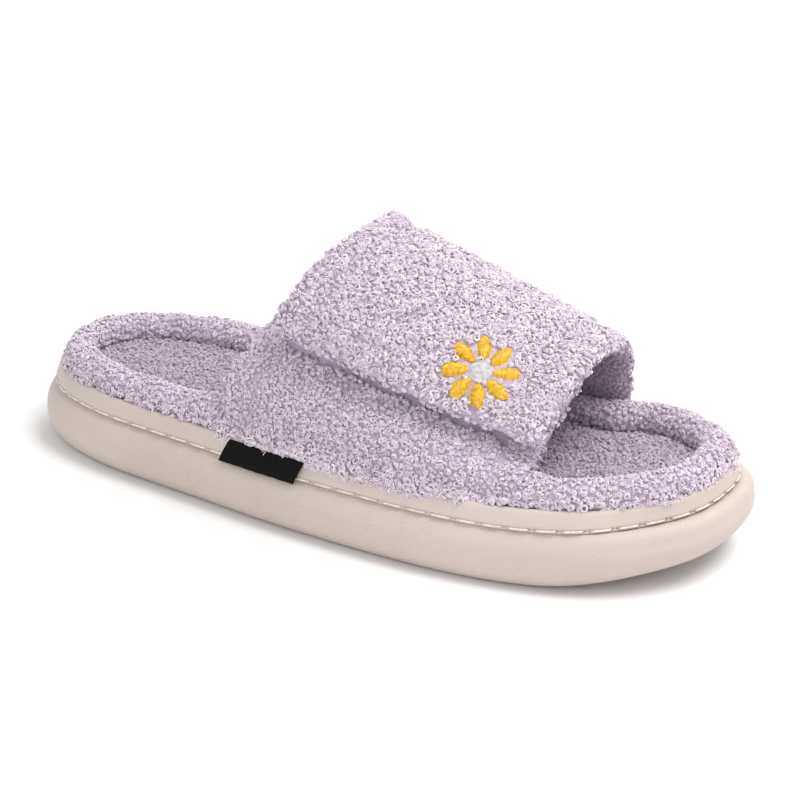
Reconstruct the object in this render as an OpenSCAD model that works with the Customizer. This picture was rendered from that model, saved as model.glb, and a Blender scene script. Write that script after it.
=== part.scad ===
// House slipper, right foot: moulded sole with a stitched band, padded footbed with a
// rolled rim, and a two-piece fleece strap whose medial half ends in a peel-open flap.
// +X points to the toe, +Y to the inner (medial) side of the foot, +Z up.
// The origin is on the floor, below the middle of the sole.

/* [Sole] */
// Length of the sole over its bulge
sole_length = 270; // [250:1:290]
// Width of the sole over its bulge
sole_width = 104; // [98:1:112]
// Height of the bulged lower wall
wall_height = 19.6; // [18:0.1:22]
// Height of the stitched band above the wall
band_height = 6.9; // [6:0.1:8]
// Lift of the toe tip off the floor
toe_spring = 6.5; // [0:0.5:8]

/* [Rim and footbed] */
// Radius of the fleece roll around the footbed
roll_r = 5.8; // [5:0.1:6]
// Radius of the foam rope inside the roll
rope_r = 3.6; // [3:0.1:3.8]
// Thickness of the insole board
board_t = 1.6; // [1:0.1:1.8]

/* [Strap] */
// Height of the strap above the band at its rear edge
rear_height = 71; // [60:1:76]
// Height of the strap above the band at its front edge
front_height = 38.5; // [34:0.5:46]
// Distance of the crown line from the sole's middle, to the medial side
crown_y = 8.5; // [6:0.5:11]
// Share of the arch, from the lateral base, at which the flap ends
flap_end = 0.17; // [0.15:0.01:0.19]

/* [Trim] */
// Length of one stitch on the side of the sole
stitch_len = 7; // [5:0.5:8]
// Number of stitches around the sole
stitch_count = 68; // [40:1:72]
// Length of the woven side label
label_len = 32; // [20:1:36]
// Length of one embroidered petal
petal_len = 8.4; // [6:0.1:9]

/* [Hidden] */

// colours
lilac = "#cdbfd0";
deep_lilac = "#b3a2b8";
taupe = "#d0c3bb";
foam_grey = "#e6e2dc";
board_brown = "#a98f70";

// gap between neighbouring layers
gap = 0.1;

// ---- sole outline ----
// Control points from the heel tip along the medial side to the toe tip and back.
outline_knots = [[-135, 0], [-122, 28], [-88, 41], [-40, 41], [10, 44], [60, 50],
    [101, 47], [129, 27], [135, 0], [127, -24], [100, -44], [55, -53], [0, -52],
    [-50, -46], [-95, -39], [-123, -25]];
knot_length = 270;
knot_width = 104;
steps_per_knot = 6;
sx = sole_length / knot_length;
sy = sole_width / knot_width;

function knot(i) =
    let (k = outline_knots[(i + len(outline_knots)) % len(outline_knots)])
    [k.x * sx, k.y * sy];

// Catmull-Rom spline between p1 and p2
function spline(p0, p1, p2, p3, t) =
    (2 * p1 + (p2 - p0) * t + (2 * p0 - 5 * p1 + 4 * p2 - p3) * t * t
        + (3 * p1 - p0 - 3 * p2 + p3) * t * t * t) / 2;

drawn = [for (i = [0:len(outline_knots) - 1], k = [0:steps_per_knot - 1])
    spline(knot(i - 1), knot(i), knot(i + 1), knot(i + 2), k / steps_per_knot)];
drawn_x = [for (p = drawn) p.x];
drawn_y = [for (p = drawn) p.y];
middle = [min(drawn_x) + max(drawn_x), min(drawn_y) + max(drawn_y)] / 2;
outline = [for (p = drawn) p - middle];
n = len(outline);
outline_normals = [for (i = [0:n - 1])
    let (d = outline[(i + 1) % n] - outline[(i + n - 1) % n])
    [-d.y, d.x] / norm(d)];

// ---- heights ----
spring_start = 60;
band_top = wall_height + 0.2 + band_height;
board_z = wall_height + 0.2;
foam_z = board_z + board_t + 0.2;
footbed_z = band_top - 0.3;
roll_z = band_top + 2.8;
strap_z = band_top + 0.3;

// Lift of the whole sole towards the toe
function spring(x) =
    toe_spring * pow(max(0, (x - spring_start) / (sole_length / 2 - spring_start)), 2);

function mix(a, b, t) = a + (b - a) * t;
function smooth(t) = let (u = min(1, max(0, t))) u * u * (3 - 2 * u);

// 1 beside the strap, 0 at the heel and toe; the strap reaches further back on the lateral side
shift_run = 12;
function beside_strap(p) =
    let (from = p.y < 0 ? -44 : -34, to = p.y < 0 ? 79 : 77)
    smooth((p.x - from + shift_run) / shift_run) * smooth((to + shift_run - p.x) / shift_run);

// Distance of the roll's centre line from the outline
function roll_inset(i) = 13 + 5.6 * beside_strap(outline[i]);

// Point of the outline, moved inwards and lifted
function rim_point(i, inset, z) =
    let (p = outline[i] - outline_normals[i] * inset)
    [p.x, p.y, z + spring(p.x)];
function level(inset, z) = [for (i = [0:n - 1]) rim_point(i, inset, z)];

// ---- solids from points ----
// Closed loft through equal rings that follow the outline. The caps are strips across the foot.
module loft(rings) {
    m = len(rings);
    top = (m - 1) * n;
    half = n / 2;
    sides = [for (j = [0:m - 2], i = [0:n - 1])
        let (a = j * n + i, b = j * n + (i + 1) % n)
        each [[a, b, b + n], [a, b + n, a + n]]];
    strip = [[0, 1, n - 1], [half - 1, half, half + 1],
        for (i = [1:half - 2]) each [[i, i + 1, n - i - 1], [i, n - i - 1, n - i]]];
    upper = [for (f = strip) [f[0] + top, f[1] + top, f[2] + top]];
    lower = [for (f = strip) [f[2], f[1], f[0]]];
    polyhedron(points = [for (r = rings) each r], faces = concat(sides, upper, lower));
}

// Closed ring swept around the outline: profile(i) gives [inset, z] points in one turn
module ring_sweep(profile) {
    m = len(profile(0));
    points = [for (i = [0:n - 1], q = profile(i)) rim_point(i, q[0], q[1])];
    faces = [for (i = [0:n - 1], j = [0:m - 1])
        let (i2 = (i + 1) % n, j2 = (j + 1) % m)
        each [[i * m + j, i2 * m + j, i2 * m + j2], [i * m + j, i2 * m + j2, i * m + j2]]];
    polyhedron(points = points, faces = faces);
}

// Closed slab between two equal grids of points, the outer one first
module grid_slab(outer, inner) {
    rows = len(outer);
    cols = len(outer[0]);
    under = rows * cols;
    points = [for (g = [outer, inner], row = g) each row];
    skins = [for (r = [0:rows - 2], c = [0:cols - 2])
        let (a = r * cols + c, b = a + 1, d = a + cols, e = d + 1)
        each [[a, d, e], [a, e, b],
            [a + under, e + under, d + under], [a + under, b + under, e + under]]];
    edge = concat(
        [for (c = [0:cols - 2]) c],
        [for (r = [0:rows - 2]) r * cols + cols - 1],
        [for (c = [cols - 1:-1:1]) (rows - 1) * cols + c],
        [for (r = [rows - 1:-1:1]) r * cols]);
    walls = [for (k = [0:len(edge) - 1])
        let (p = edge[k], q = edge[(k + 1) % len(edge)])
        each [[p, q, q + under], [p, q + under, p + under]]];
    polyhedron(points = points, faces = concat(skins, walls));
}

// ---- strap arch ----
strap_inset = 7;
rear_near_x = -42;
rear_crown_x = -1;
rear_far_x = -32;
front_near_x = 77;
front_crown_x = 84;
front_far_x = 75;
rear_power = 2.6;
front_power = 1.7;
far_power = 2.6;
crown_swell = 1.5;
crown_split = 0.0008;

half = n / 2;
medial_line = [for (i = [0:half]) let (p = rim_point(i, strap_inset, 0)) [p.x, p.y]];
lateral_line = [for (i = [half:n]) let (p = rim_point(i % n, strap_inset, 0)) [p.x, p.y]];

// Outer face of the strap: t runs from the rear edge (0) to the front edge (1),
// a from the lateral base (0) over the crown (0.5) to the medial base (1)
function strap_point(t, a) =
    let (
        near = a < 0.5,
        lift = sin(180 * a),
        across = -cos(180 * a),
        rear_x = mix(near ? rear_near_x : rear_far_x, rear_crown_x, lift),
        front_x = mix(near ? front_near_x : front_far_x, front_crown_x, lift),
        x = mix(rear_x, front_x, t),
        power = near ? mix(rear_power, front_power, t) : far_power,
        reach = 1 / pow(pow(abs(across), power) + pow(lift, power), 1 / power),
        side_y = lookup(x, near ? lateral_line : medial_line),
        height = mix(rear_height, front_height, t) + crown_swell * sin(180 * t))
    [x,
        crown_y + abs(side_y - crown_y) * reach * across,
        strap_z + spring(x) + height * reach * lift];

function unit(v) = v / norm(v);
step = 0.002;
// Outward direction of the strap's face
function strap_normal(t, a) =
    unit(cross(
        strap_point(t + step, a) - strap_point(t - step, a),
        strap_point(t, min(1, a + step)) - strap_point(t, max(0, a - step))));

function below(t, a, depth) = strap_point(t, a) - strap_normal(t, a) * depth;

// Slab that follows the arch between two depths, over the rows a and the columns t
module strap_layer(rows, columns, top, bottom) {
    grid_slab(
        [for (a = rows) [for (t = columns) below(t, a, top(t, a))]],
        [for (a = rows) [for (t = columns) below(t, a, bottom(t, a))]]);
}

// Evenly spaced values from a to b
function span(a, b, count) = [for (i = [0:count]) mix(a, b, i / count)];

// ---- layer thicknesses ----
cover_t = 2;
strap_foam_t = 1.4;
lining_t = 0.8;
flap_cover_t = 3.2;
flap_foam_t = 2.4;
flap_lining_t = 1.2;
patch_t = 0.8;
flap_depth = flap_cover_t + flap_foam_t + flap_lining_t + 2 * gap;
hook_depth = flap_depth + gap;
patch_gap = 0.4;
loop_depth = hook_depth + patch_t + patch_gap;
under_depth = loop_depth + patch_t + gap;
edge_in = 0.03;

// The lateral half sinks below the outer face, so that the flap can lie on it
function sink(a) = under_depth * smooth((a - 0.055) / 0.105);
// The medial half is thin where it enters the sole and full over the foot
function fill(a) = smooth((0.97 - a) / 0.1);
function medial_cover_depth(a) = cover_t + (flap_cover_t - cover_t) * fill(a);
function medial_foam_depth(a) = medial_cover_depth(a) + gap + strap_foam_t + 2.4 * fill(a);

lateral_rows = concat(span(0, 0.18, 9), span(0.22, 0.44, 6));
flap_rows = span(flap_end, 0.5 - crown_split / 2, 10);
medial_rows = concat(span(0.5 + crown_split / 2, 0.82, 9), span(0.85, 1, 5));
cover_columns = span(0, 1, 12);
inner_columns = span(edge_in, 1 - edge_in, 10);

// ---- sole ----
// Rounding that lifts the bottom edge at the toe, on top of the toe spring
rocker_start = 85;
rocker_lift = 3;
rocker_inset = 1.5;
rocker_top = 12;
function rocker(x, z) =
    smooth((x - rocker_start) / (sole_length / 2 - rocker_start)) * max(0, 1 - z / rocker_top);
function sole_level(inset, z) = [for (i = [0:n - 1])
    let (k = rocker(outline[i].x, z))
    rim_point(i, inset + rocker_inset * k, z + rocker_lift * k)];

// Bulged lower wall with a rounded bottom edge and a shoulder below the band
module outsole() {
    color(taupe) loft([
        sole_level(7, 0),
        sole_level(3.5, 1.2),
        sole_level(1.2, 4),
        sole_level(0, wall_height * 0.4),
        sole_level(0, wall_height * 0.62),
        sole_level(1, wall_height * 0.78),
        sole_level(2.6, wall_height * 0.91),
        sole_level(4.5, wall_height)]);
}

// The band leans in more at the toe, where it stands behind a ledge
function toe_lean(i) = 1.6 * smooth((outline[i].x - 92) / 34);
function band_profile(i) =
    let (lean = toe_lean(i))
    [[8.2, board_z],
        [3.9 + lean, board_z],
        [4.3 + lean, board_z + band_height * 0.45],
        [5.4 + lean / 2, band_top - 0.9],
        [6.2 + lean / 2, band_top - 0.1],
        [7, band_top],
        [8.2, band_top - 0.9]];
module rand_band() {
    color(taupe) ring_sweep(function (i) band_profile(i));
}

// Running stitch that joins the band to the wall
stitch_w = 0.8;
stitch_inset = 3.2;
stitch_z = board_z + 0.8;
stitch_line = [for (i = [0:n - 1]) rim_point(i, stitch_inset + toe_lean(i), stitch_z)];
stitch_steps = [for (i = [0:n - 1]) norm(stitch_line[(i + 1) % n] - stitch_line[i])];
// Length of the line from its start to point i
function run_to(i) = i == 0 ? 0 : run_to(i - 1) + stitch_steps[i - 1];
stitch_runs = [for (i = [0:n]) [run_to(i), i]];
function stitch_point(run) =
    let (i = lookup(run, stitch_runs), low = floor(i) % n)
    mix(stitch_line[low], stitch_line[(low + 1) % n], i - floor(i));

module side_stitching() {
    total = run_to(n);
    color(foam_grey) for (k = [0:stitch_count - 1]) {
        middle_run = (k + 0.5) * total / stitch_count;
        a = stitch_point(middle_run - stitch_len / 2);
        b = stitch_point(middle_run + stitch_len / 2);
        d = b - a;
        translate((a + b) / 2)
            rotate([0, -atan2(d.z, norm([d.x, d.y])), atan2(d.y, d.x)])
                translate([-norm(d) / 2, -stitch_w / 2, -stitch_w / 2])
                    cube([norm(d), stitch_w, stitch_w]);
    }
}

board_inset = 8.4 + 1.6;
module insole_board() {
    color(board_brown) loft([level(board_inset, board_z), level(board_inset, board_z + board_t)]);
}

// Ring of points at a distance from the roll's centre line
function beside_roll(out, z) = [for (i = [0:n - 1]) rim_point(i, roll_inset(i) - out, z)];

seat_z = roll_z - roll_r - 0.5;
module foam_footbed() {
    color(foam_grey) loft([
        level(board_inset, foam_z),
        level(board_inset, seat_z),
        beside_roll(-2, seat_z),
        beside_roll(-6.2, footbed_z - gap)]);
}

module footbed_cover() {
    color(deep_lilac) loft([
        beside_roll(-6.1, footbed_z),
        beside_roll(-6.1, footbed_z + 1.6),
        beside_roll(-7.2, footbed_z + 2.4)]);
}

// ---- rim roll ----
function around(i, r, angle) = [roll_inset(i) - r * cos(angle), roll_z + r * sin(angle)];

module rim_core() {
    sides = 12;
    color(foam_grey) ring_sweep(function (i) [for (k = [0:sides - 1]) around(i, rope_r, 360 * k / sides)]);
}

// Fleece wrapped over the rope, open along a slot underneath
slot_half = 22;
wrap_steps = 12;
module rim_cover() {
    angles = span(-90 + slot_half, 270 - slot_half, wrap_steps);
    back = [for (k = [wrap_steps:-1:0]) angles[k]];
    color(lilac) ring_sweep(function (i) concat(
        [for (w = angles) around(i, roll_r, w)],
        [for (w = back) around(i, rope_r + 0.2, w)]));
}

// ---- lateral half of the strap ----
// Its rear edge reaches back a little between the sole and the flap's corner
rear_flare = 0.076;
function flare(a) = rear_flare * smooth((a - 0.03) / 0.06) * (1 - smooth((a - 0.16) / 0.08));
function flared(t, a) = t - flare(a) * pow(1 - t, 3);

module lateral_layer(columns, top, thickness) {
    grid_slab(
        [for (a = lateral_rows) [for (t = columns)
            below(flared(t, a), a, sink(a) + top)]],
        [for (a = lateral_rows) [for (t = columns)
            below(flared(t, a), a, sink(a) + top + thickness)]]);
}

module lateral_strap_cover() {
    color(lilac) lateral_layer(cover_columns, 0, cover_t);
}

module lateral_strap_foam() {
    color(foam_grey) lateral_layer(inner_columns, cover_t + gap, strap_foam_t);
}

module lateral_strap_lining() {
    inside = cover_t + strap_foam_t + 2 * gap;
    color(deep_lilac) lateral_layer(cover_columns, inside, lining_t);
}

patch_columns = span(0.14, 0.86, 8);
module loop_patch() {
    color(deep_lilac) strap_layer(span(0.21, 0.42, 7), patch_columns,
        function (t, a) loop_depth,
        function (t, a) loop_depth + patch_t);
}

// ---- medial half of the strap ----
module medial_strap_cover() {
    color(lilac) strap_layer(medial_rows, cover_columns,
        function (t, a) 0,
        function (t, a) medial_cover_depth(a));
}

module medial_strap_foam() {
    color(foam_grey) strap_layer(medial_rows, inner_columns,
        function (t, a) medial_cover_depth(a) + gap,
        function (t, a) medial_foam_depth(a));
}

module medial_strap_lining() {
    color(deep_lilac) strap_layer(medial_rows, cover_columns,
        function (t, a) medial_foam_depth(a) + gap,
        function (t, a) medial_foam_depth(a) + gap + lining_t);
}

// ---- flap ----
module flap_cover() {
    color(lilac) strap_layer(flap_rows, cover_columns,
        function (t, a) 0,
        function (t, a) flap_cover_t);
}

module flap_foam() {
    color(foam_grey) strap_layer(flap_rows, inner_columns,
        function (t, a) flap_cover_t + gap,
        function (t, a) flap_cover_t + gap + flap_foam_t);
}

module flap_lining() {
    color(deep_lilac) strap_layer(flap_rows, cover_columns,
        function (t, a) flap_depth - flap_lining_t,
        function (t, a) flap_depth);
}

module hook_patch() {
    color(deep_lilac) strap_layer(span(0.21, 0.36, 6), patch_columns,
        function (t, a) hook_depth,
        function (t, a) hook_depth + patch_t);
}

// ---- trim ----
// Rows of thread along the strap's rear and front edges
thread_rows = [0.1, 0.88];
thread_len = 4;
thread_w = 0.6;
module topstitching(from, to, count) {
    color(lilac) for (t = thread_rows, a = span(from, to, count - 1))
        on_face([t, a], [t, a + 0.01])
            translate([-thread_len / 2, -thread_w / 2, 0])
                cube([thread_len, thread_w, thread_w]);
}
module medial_topstitching() {
    topstitching(0.53, 0.92, 10);
}
module flap_topstitching() {
    topstitching(0.2, 0.47, 10);
}

label_start = -35.5;
label_inset = 2.5;
label_t = 0.8;
label_low = board_z - 0.3;
label_high = band_top - 0.2;
label_lean = 1.8;

// Folded tab that hangs over the band on the lateral side
module woven_label() {
    line = [for (i = [half:n]) rim_point(i % n, 0, 0)];
    side = [for (p = line) [p.x, p.y]];
    columns = span(label_start, label_start + label_len, 8);
    rows = [label_low, label_low + 3, label_high];
    function label_y(x, z, depth) =
        lookup(x, side) + label_inset + depth + label_lean * pow((z - label_low) / band_height, 2);
    color("#1d1a1c") grid_slab(
        [for (z = rows) [for (x = columns) [x, label_y(x, z, -label_t), z]]],
        [for (z = rows) [for (x = columns) [x, label_y(x, z, 0), z]]]);
}

// Embroidered flower on the flap
daisy_t = 0.705;
daisy_a = 0.275;
petal_w = 4.6;
petal_r = 8.4;
petal_count = 8;
petal_h = 0.9;
stand_off = 0.05;

// Strap coordinates at the distance r from the flower's middle, in the direction w
function daisy_at(r, w) =
    let (
        along = norm(strap_point(daisy_t + step, daisy_a) - strap_point(daisy_t - step, daisy_a)),
        over = norm(strap_point(daisy_t, daisy_a + step) - strap_point(daisy_t, daisy_a - step)))
    [daisy_t + 2 * step * r * cos(w) / along, daisy_a + 2 * step * r * sin(w) / over];

// Puts children on the face at a strap place, +X along the direction to another place
module on_face(at, towards) {
    p = below(at[0], at[1], -stand_off);
    z_axis = strap_normal(at[0], at[1]);
    ahead = strap_point(towards[0], towards[1]) - strap_point(at[0], at[1]);
    x_axis = unit(ahead - z_axis * (ahead * z_axis));
    y_axis = cross(z_axis, x_axis);
    multmatrix([
        [x_axis.x, y_axis.x, z_axis.x, p.x],
        [x_axis.y, y_axis.y, z_axis.y, p.y],
        [x_axis.z, y_axis.z, z_axis.z, p.z],
        [0, 0, 0, 1]])
        children();
}

module petal_shape() {
    polygon([for (k = [0:23])
        let (w = 15 * k)
        [petal_len / 2 * cos(w), petal_w / 2 * sin(w) * (1 + 0.25 * cos(w))]]);
}

module daisy_petals() {
    color("#eec13c") for (k = [0:petal_count - 1]) {
        w = 360 * (k + 0.5) / petal_count;
        on_face(daisy_at(petal_r, w), daisy_at(petal_r + 1, w))
            linear_extrude(petal_h) petal_shape();
    }
}

module daisy_centre() {
    color("#e4e0e2") on_face([daisy_t, daisy_a], daisy_at(1, 0))
        cylinder(h = petal_h, r = 3.6, $fn = 32);
}

outsole();
rand_band();
side_stitching();
insole_board();
foam_footbed();
footbed_cover();
rim_core();
rim_cover();
lateral_strap_cover();
lateral_strap_foam();
lateral_strap_lining();
loop_patch();
medial_strap_cover();
medial_strap_foam();
medial_strap_lining();
medial_topstitching();
flap_cover();
flap_foam();
flap_lining();
flap_topstitching();
hook_patch();
woven_label();
daisy_petals();
daisy_centre();
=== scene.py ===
"""Looks of the fluffy house slipper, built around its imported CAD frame.

Lengths inside the script are in millimetres, and become metres when a mesh is made.
+X points to the toe, +Y to the medial side, +Z up.
"""
import math

import bpy
import numpy as np
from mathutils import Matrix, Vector
from mathutils.kdtree import KDTree


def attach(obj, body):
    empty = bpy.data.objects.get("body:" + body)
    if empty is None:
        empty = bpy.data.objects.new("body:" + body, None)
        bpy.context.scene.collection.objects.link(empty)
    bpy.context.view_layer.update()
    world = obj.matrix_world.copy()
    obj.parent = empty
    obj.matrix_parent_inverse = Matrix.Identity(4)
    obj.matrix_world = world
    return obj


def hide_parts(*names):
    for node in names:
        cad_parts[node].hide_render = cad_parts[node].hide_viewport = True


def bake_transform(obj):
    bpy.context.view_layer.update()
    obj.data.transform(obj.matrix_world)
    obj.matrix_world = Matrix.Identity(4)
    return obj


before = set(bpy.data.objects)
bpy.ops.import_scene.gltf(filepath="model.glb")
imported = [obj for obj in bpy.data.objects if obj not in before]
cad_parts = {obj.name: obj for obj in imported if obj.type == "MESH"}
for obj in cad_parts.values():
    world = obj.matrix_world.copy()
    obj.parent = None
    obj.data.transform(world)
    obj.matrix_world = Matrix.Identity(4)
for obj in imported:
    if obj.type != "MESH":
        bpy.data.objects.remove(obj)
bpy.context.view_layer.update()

MM = 0.001
rng = np.random.default_rng(20)

# -------- colours (linear)


def srgb(red, green, blue):
    """Linear colour of an sRGB triple from 0 to 255."""
    values = [c / 255 for c in (red, green, blue)]
    return tuple(v / 12.92 if v <= 0.04045 else ((v + 0.055) / 1.055) ** 2.4 for v in values) + (1,)


# The two darkest lilacs are painted shade, for the roots of the pile and the ground fabric between the curls;
# the palest, at the curl tips, is painted light.
LILAC_TIP = srgb(234, 224, 232)
LILAC = srgb(226, 212, 226)
LILAC_DEEP_SHADE = srgb(220, 204, 222)
LILAC_GROUND_SHADE = srgb(200, 183, 206)
TAUPE = srgb(200, 187, 180)
TAUPE_WARM = srgb(192, 178, 170)

# -------- CAD shapes repeated
WALL_HEIGHT = 19.6
BAND_HEIGHT = 6.9
BOARD_Z = WALL_HEIGHT + 0.2
BAND_TOP = BOARD_Z + BAND_HEIGHT
ROLL_Z = BAND_TOP + 2.8
ROLL_R = 5.8
STRAP_Z = BAND_TOP + 0.3
FOOTBED_Z = BAND_TOP - 0.3
TOE_SPRING = 6.5
SPRING_START = 60
HALF_LENGTH = 135
KNOTS = np.array([
    (-135, 0), (-122, 28), (-88, 41), (-40, 41), (10, 44), (60, 50), (101, 47), (129, 27),
    (135, 0), (127, -24), (100, -44), (55, -53), (0, -52), (-50, -46), (-95, -39), (-123, -25),
], float)


def smooth(t):
    t = np.clip(t, 0, 1)
    return t * t * (3 - 2 * t)


def mix(a, b, t):
    return a + (b - a) * t


def unit(v):
    return v / np.maximum(np.linalg.norm(v, axis=-1, keepdims=True), 1e-9)


def square_to(v, n):
    """The part of v that is at right angles to n."""
    return v - (v * n).sum(-1, keepdims=True) * n


def spline(points, steps, closed):
    """Catmull-Rom curve through the points."""
    points = np.asarray(points, float)
    if closed:
        before, after, after2 = (np.roll(points, k, 0) for k in (1, -1, -2))
        start = points
    else:
        padded = np.vstack([2 * points[0] - points[1], points, 2 * points[-1] - points[-2]])
        before, start, after, after2 = padded[:-3], padded[1:-2], padded[2:-1], padded[3:]
    t = (np.arange(steps) / steps)[None, :, None]
    p0, p1, p2, p3 = (p[:, None] for p in (before, start, after, after2))
    curve = (2 * p1 + (p2 - p0) * t + (2 * p0 - 5 * p1 + 4 * p2 - p3) * t ** 2
             + (3 * p1 - p0 - 3 * p2 + p3) * t ** 3) / 2
    curve = curve.reshape(-1, points.shape[1])
    return curve if closed else np.vstack([curve, points[-1]])


def sole_outline(steps):
    """Outline of the sole's bulge and its outward normals, centred as in the CAD."""
    coarse = spline(KNOTS, 6, True)
    line = spline(KNOTS, steps, True) - (coarse.min(0) + coarse.max(0)) / 2
    along = np.roll(line, -1, 0) - np.roll(line, 1, 0)
    return line, unit(np.column_stack([-along[:, 1], along[:, 0]]))


def spring(x):
    return TOE_SPRING * (np.clip((x - SPRING_START) / (HALF_LENGTH - SPRING_START), 0, None)) ** 2


def ring(outline, inset, z):
    """Points at an inset from the outline, at the height z, lifted at the toe."""
    line, normals = outline
    p = line - normals * np.broadcast_to(inset, len(line))[:, None]
    return np.column_stack([p, np.broadcast_to(z, len(p)) + spring(p[:, 0])])


def toe_lean(x):
    return 1.6 * smooth((x - 92) / 34)


ROLL_SHIFT = 5.6


def beside_strap(line, run, under=0):
    """1 along the strap, 0 at the heel and toe. It changes over run mm and ends under mm inside the edges."""
    near = line[:, 1] < 0
    start, end = np.where(near, -44, -34) + under, np.where(near, 79, 77) - under
    return smooth((line[:, 0] - start + run) / run) * smooth((end + run - line[:, 0]) / run)


def roll_inset(line):
    """Distance of the rim roll's centre line from the outline."""
    return 13 + ROLL_SHIFT * beside_strap(line, 12)


# strap arch: t and a run from 0 to 1 over its nominal width and arc
STRAP_WIDTH, STRAP_ARC = 105.0, 210.0
CROWN_Y = 8.5
REAR_HEIGHT, FRONT_HEIGHT, CROWN_SWELL = 71, 38.5, 1.5
SPLIT = 0.5
FLAP_END = 0.17
FLAP_T = 7.0
FLAP_HEM = 2.0
UNDER_DEPTH = 9.2
STRAP_INSET = 7
coarse_line, coarse_normals = sole_outline(6)
side_points = coarse_line - coarse_normals * STRAP_INSET
half_count = len(side_points) // 2
MEDIAL_LINE = side_points[2:half_count - 1]
LATERAL_LINE = side_points[half_count + 2:-1][::-1]


def strap_point(t, a):
    """Outer face of the strap: t from the rear edge to the front, a from the lateral base to the medial."""
    t, a = np.broadcast_arrays(np.asarray(t, float), np.asarray(a, float))
    near = a < SPLIT
    lift, across = np.sin(math.pi * a), -np.cos(math.pi * a)
    rear = mix(np.where(near, -42, -32), -1, lift)
    front = mix(np.where(near, 77, 75), 84, lift)
    x = mix(rear, front, t)
    power = np.where(near, mix(2.6, 1.7, t), 2.6)
    reach = (np.abs(across) ** power + np.abs(lift) ** power) ** (-1 / power)
    side = np.where(near, np.interp(x, LATERAL_LINE[:, 0], LATERAL_LINE[:, 1]),
                    np.interp(x, MEDIAL_LINE[:, 0], MEDIAL_LINE[:, 1]))
    height = mix(REAR_HEIGHT, FRONT_HEIGHT, t) + CROWN_SWELL * np.sin(math.pi * np.clip(t, 0, 1))
    return np.stack([x, CROWN_Y + np.abs(side - CROWN_Y) * reach * across,
                     STRAP_Z + spring(x) + height * reach * lift], -1)


def strap_normal(t, a):
    t, a = np.broadcast_arrays(np.asarray(t, float), np.asarray(a, float))
    d = 0.002
    along = strap_point(t + d, a) - strap_point(t - d, a)
    over = strap_point(t, np.minimum(a + d, 1)) - strap_point(t, np.maximum(a - d, 0))
    return unit(np.cross(along, over))


def below(t, a, depth):
    return strap_point(t, a) - strap_normal(t, a) * np.asarray(depth, float)[..., None]


def sink(a):
    return UNDER_DEPTH * smooth((a - 0.055) / 0.105)


def flare(a):
    """How much further back the lateral half's rear edge lies, as a share of the strap's width."""
    return 0.076 * smooth((a - 0.03) / 0.06) * (1 - smooth((a - 0.16) / 0.08))


def medial_thickness(a):
    """Cover, foam and lining of the medial half, thin where it enters the sole."""
    return 4.4 + 3.6 * smooth((0.97 - a) / 0.1)


# -------- mesh making


def linked(name, data):
    """New object, in the scene."""
    obj = bpy.data.objects.new(name, data)
    bpy.context.collection.objects.link(obj)
    return obj


def mesh_object(name, verts, faces):
    mesh = bpy.data.meshes.new(name)
    mesh.from_pydata(verts, [], faces)
    return linked(name, mesh)


def evaluated(obj):
    """The object's mesh with its modifiers applied."""
    return obj.evaluated_get(bpy.context.evaluated_depsgraph_get()).data


def stand_in(obj, nodes, body="root"):
    """Makes the piece stand for its CAD nodes on their body, and hides those nodes."""
    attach(obj, body)
    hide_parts(*nodes)


def write_attribute(mesh, name, values):
    """Stores one value on each vertex."""
    attribute = mesh.attributes.new(name, "FLOAT", "POINT")
    attribute.data.foreach_set("value", values.astype(np.float32))


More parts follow.
